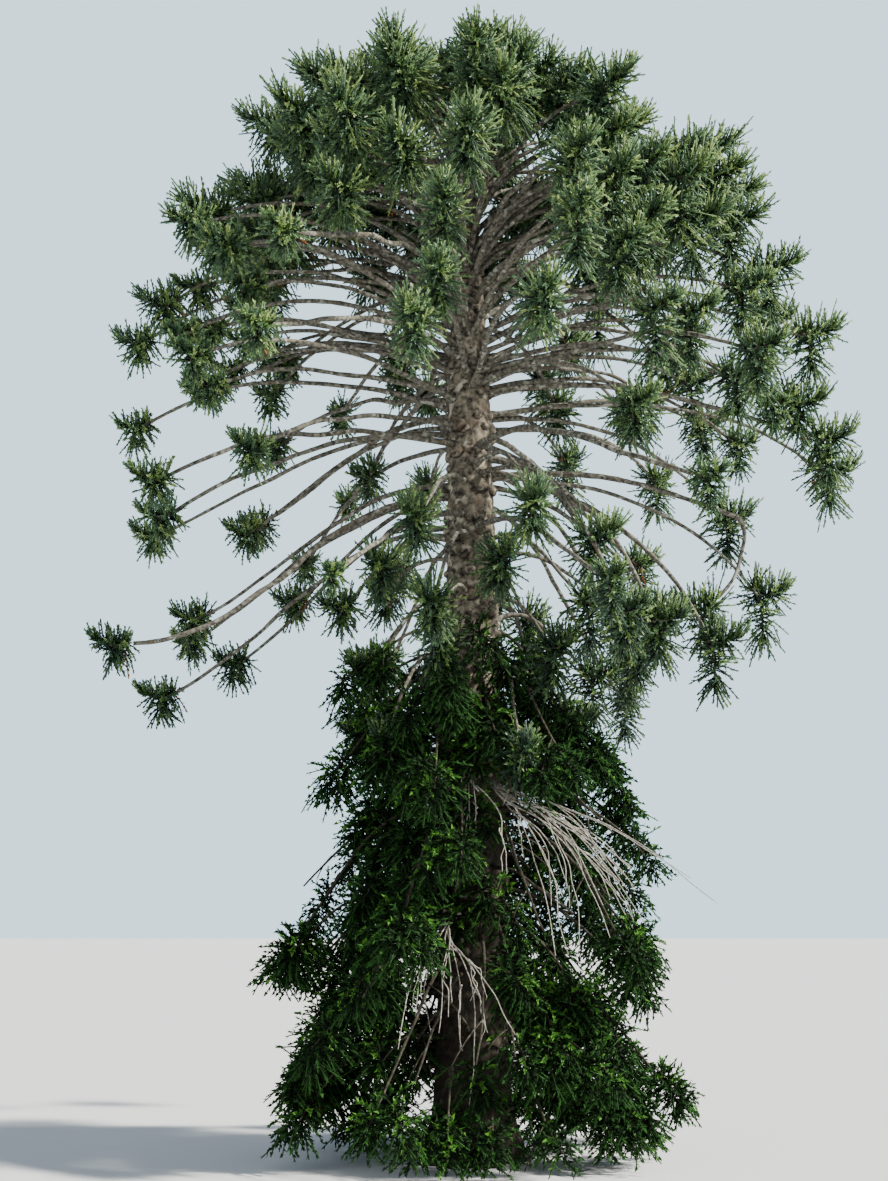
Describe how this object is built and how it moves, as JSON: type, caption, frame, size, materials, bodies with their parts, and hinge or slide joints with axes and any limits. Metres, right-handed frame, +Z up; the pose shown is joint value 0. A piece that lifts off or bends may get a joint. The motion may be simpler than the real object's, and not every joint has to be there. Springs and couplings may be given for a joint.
{
  "type": "bunya pine tree",
  "caption": "Tall old bunya pine: straight knotted trunk, long bare drooping boughs that end in leafy mops, a domed top and a dense hanging skirt of foliage below.",
  "frame": {"origin": "middle of the flat cut under the trunk at ground level", "axes": "+Z up the trunk, -Y towards the camera of the picture, +X to the right in it"},
  "size_m": [17.9967, 17.6603, 27.0385],
  "materials": {
    "trunk_bark": "rough dark bark with knots",
    "bough_bark": "rough grey lichened bark",
    "mop_foliage": "stiff glossy leaves",
    "skirt_foliage": "dark shaded leaves"
  },
  "bodies": {
    "root": {"trunk": "trunk_bark", "shoulder_bough_1": "bough_bark", "shoulder_bough_2": "bough_bark", "shoulder_bough_3": "bough_bark", "upper_bough_1": "bough_bark", "upper_bough_2": "bough_bark", "upper_bough_3": "bough_bark", "middle_bough_1": "bough_bark", "middle_bough_2": "bough_bark", "middle_bough_3": "bough_bark", "lower_bough_1": "bough_bark", "lower_bough_2": "bough_bark", "lower_bough_3": "bough_bark", "hanging_bough_1": "bough_bark", "hanging_bough_2_run": "bough_bark", "hanging_bough_2_curl": "bough_bark", "crown_fan_1": "mop_foliage", "crown_fan_2": "mop_foliage", "dome_fan_1": "mop_foliage", "dome_fan_2": "mop_foliage", "dome_fan_3": "mop_foliage", "shoulder_fan_1": "mop_foliage", "shoulder_fan_2": "mop_foliage", "shoulder_fan_3": "mop_foliage", "upper_fan_1": "mop_foliage", "upper_fan_2": "mop_foliage", "upper_fan_3": "mop_foliage", "middle_fan_1": "mop_foliage", "middle_fan_2": "mop_foliage", "middle_fan_3": "mop_foliage", "lower_fan_1": "mop_foliage", "lower_fan_2": "mop_foliage", "lower_fan_3": "mop_foliage", "hanging_fan_1": "mop_foliage", "hanging_fan_2": "mop_foliage", "inner_fan_1": "mop_foliage", "inner_fan_2": "mop_foliage", "leader_top": "mop_foliage", "shoulder_tuft_1": "mop_foliage", "shoulder_tuft_2": "mop_foliage", "shoulder_tuft_3": "mop_foliage", "upper_tuft_1": "mop_foliage", "upper_tuft_2": "mop_foliage", "upper_tuft_3": "mop_foliage", "middle_tuft_1": "mop_foliage", "middle_tuft_2": "mop_foliage", "middle_tuft_3": "mop_foliage", "lower_tuft_1": "mop_foliage", "lower_tuft_2": "mop_foliage", "lower_tuft_3": "mop_foliage", "hanging_tuft_1": "mop_foliage", "hanging_tuft_2": "mop_foliage", "skirt_upper_1": "skirt_foliage", "skirt_upper_2": "skirt_foliage", "skirt_upper_3": "skirt_foliage", "skirt_lower_1": "skirt_foliage", "skirt_lower_2": "skirt_foliage", "skirt_lower_3": "skirt_foliage", "skirt_foot_1": "skirt_foliage", "skirt_foot_2": "skirt_foliage"}
  },
  "joints": []
}
